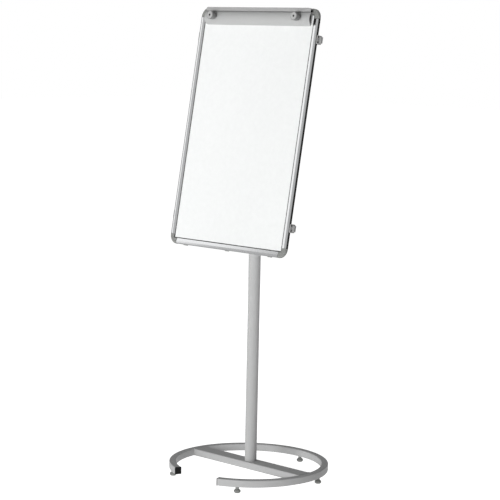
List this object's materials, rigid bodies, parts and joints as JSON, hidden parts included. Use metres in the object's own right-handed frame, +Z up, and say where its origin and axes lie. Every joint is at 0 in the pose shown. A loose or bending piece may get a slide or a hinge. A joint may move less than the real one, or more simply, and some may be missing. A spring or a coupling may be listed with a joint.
{
  "type": "flipchart easel",
  "caption": "Flipchart easel: tilting whiteboard with a hinged pad clamp bar and sliding paper arms, on a telescopic column and a C-shaped tube base with levelling feet.",
  "frame": {"origin": "on the floor, at the centre of the footprint, on the axis of the column", "axes": "+X to the right of someone facing the board, +Y behind the board, +Z up along the column"},
  "size_m": [0.712, 0.6452, 1.9462],
  "materials": {
    "silver_paint": "satin",
    "bright_aluminium": "polished",
    "satin_aluminium": "satin",
    "white_enamel": "gloss",
    "grey_plastic": "fine grain",
    "black_plastic": "fine grain",
    "zinc_steel": "zinc plated",
    "fibre_core": "fibreboard"
  },
  "bodies": {
    "base": {"base_ring": "silver_paint", "crossbar": "silver_paint", "end_plug_left": "black_plastic", "end_plug_right": "black_plastic", "foot_inserts": "zinc_steel", "column_tube": "silver_paint", "column_spigot": "zinc_steel", "column_bolt": "zinc_steel", "glide_bush": "black_plastic", "height_collar": "grey_plastic"},
    "height_knob": {"height_knob": "black_plastic"},
    "mast": {"inner_tube": "silver_paint", "mast_guide": "black_plastic", "head_block": "grey_plastic", "tilt_bolt": "zinc_steel", "tilt_washers": "zinc_steel"},
    "tilt_knob": {"tilt_knob": "black_plastic"},
    "board": {"writing_surface": "white_enamel", "board_core": "fibre_core", "back_sheet": "zinc_steel", "frame_left": "bright_aluminium", "frame_right": "bright_aluminium", "frame_bottom": "bright_aluminium", "frame_top": "bright_aluminium", "corner_bottom_left": "grey_plastic", "corner_top_left": "grey_plastic", "corner_top_right": "grey_plastic", "corner_bottom_right": "grey_plastic", "clips_top": "grey_plastic", "clips_bottom": "grey_plastic", "rear_rail_lower": "satin_aluminium", "rear_rail_upper": "satin_aluminium", "rear_spine": "silver_paint", "board_bracket": "silver_paint", "bracket_screws": "zinc_steel", "hinge_rail": "satin_aluminium", "pad_studs": "zinc_steel", "edge_seals": "black_plastic", "rail_bezels": "grey_plastic"},
    "clamp_bar": {"clamp_bar": "bright_aluminium", "bar_end_caps": "black_plastic"},
    "pad_knob_left": {"pad_knob_left": "grey_plastic"},
    "pad_knob_right": {"pad_knob_right": "grey_plastic"},
    "foot_1": {"foot_1": "grey_plastic"},
    "foot_2": {"foot_2": "grey_plastic"},
    "foot_3": {"foot_3": "grey_plastic"},
    "foot_4": {"foot_4": "grey_plastic"},
    "foot_5": {"foot_5": "grey_plastic"},
    "arm_upper_left": {"arm_upper_left": "satin_aluminium", "arm_cap_upper_left": "grey_plastic"},
    "arm_upper_right": {"arm_upper_right": "satin_aluminium", "arm_cap_upper_right": "grey_plastic"},
    "arm_lower_left": {"arm_lower_left": "satin_aluminium", "arm_cap_lower_left": "grey_plastic"},
    "arm_lower_right": {"arm_lower_right": "satin_aluminium", "arm_cap_lower_right": "grey_plastic"}
  },
  "joints": [
    {"name": "foot_1_screw", "type": "slide", "parent": "base", "child": "foot_1", "axis": [0, 0, -1], "range_m": [0, 0.01]},
    {"name": "foot_2_screw", "type": "slide", "parent": "base", "child": "foot_2", "axis": [0, 0, -1], "range_m": [0, 0.01]},
    {"name": "foot_3_screw", "type": "slide", "parent": "base", "child": "foot_3", "axis": [0, 0, -1], "range_m": [0, 0.01]},
    {"name": "foot_4_screw", "type": "slide", "parent": "base", "child": "foot_4", "axis": [0, 0, -1], "range_m": [0, 0.01]},
    {"name": "foot_5_screw", "type": "slide", "parent": "base", "child": "foot_5", "axis": [0, 0, -1], "range_m": [0, 0.01]},
    {"name": "height_slide", "type": "slide", "parent": "base", "child": "mast", "axis": [0, 0, 1], "range_m": [-0.25, 0.1]},
    {"name": "height_knob_turn", "type": "hinge", "parent": "base", "child": "height_knob", "pos_m": [0, 0.05, 1.126], "axis": [0, 1, 0], "range_deg": [0, 720]},
    {"name": "board_tilt", "type": "hinge", "parent": "mast", "child": "board", "pos_m": [0, 0, 1.575], "axis": [1, 0, 0], "range_deg": [-15, 8]},
    {"name": "tilt_knob_turn", "type": "hinge", "parent": "mast", "child": "tilt_knob", "pos_m": [0.04, 0, 1.575], "axis": [1, 0, 0], "range_deg": [0, 720]},
    {"name": "pad_knob_left_unscrew", "type": "slide", "parent": "board", "child": "pad_knob_left", "axis": [0, -0.9848, 0.1736], "range_m": [0, 0.008]},
    {"name": "pad_knob_right_unscrew", "type": "slide", "parent": "board", "child": "pad_knob_right", "axis": [0, -0.9848, 0.1736], "range_m": [0, 0.008]},
    {"name": "clamp_bar_open", "type": "hinge", "parent": "board", "child": "clamp_bar", "pos_m": [0, -0.0122, 1.93255], "axis": [-1, 0, 0], "range_deg": [0, 9]},
    {"name": "arm_upper_left_slide", "type": "slide", "parent": "board", "child": "arm_upper_left", "axis": [-1, 0, 0], "range_m": [0, 0.25]},
    {"name": "arm_upper_right_slide", "type": "slide", "parent": "board", "child": "arm_upper_right", "axis": [1, 0, 0], "range_m": [0, 0.25]},
    {"name": "arm_lower_left_slide", "type": "slide", "parent": "board", "child": "arm_lower_left", "axis": [-1, 0, 0], "range_m": [0, 0.25]},
    {"name": "arm_lower_right_slide", "type": "slide", "parent": "board", "child": "arm_lower_right", "axis": [1, 0, 0], "range_m": [0, 0.25]}
  ],
  "couplings": [
    {"joint": "pad_knob_right_unscrew", "follows": "pad_knob_left_unscrew", "ratio": 1},
    {"joint": "clamp_bar_open", "follows": "pad_knob_left_unscrew", "rad_per_m": 19.6}
  ]
}
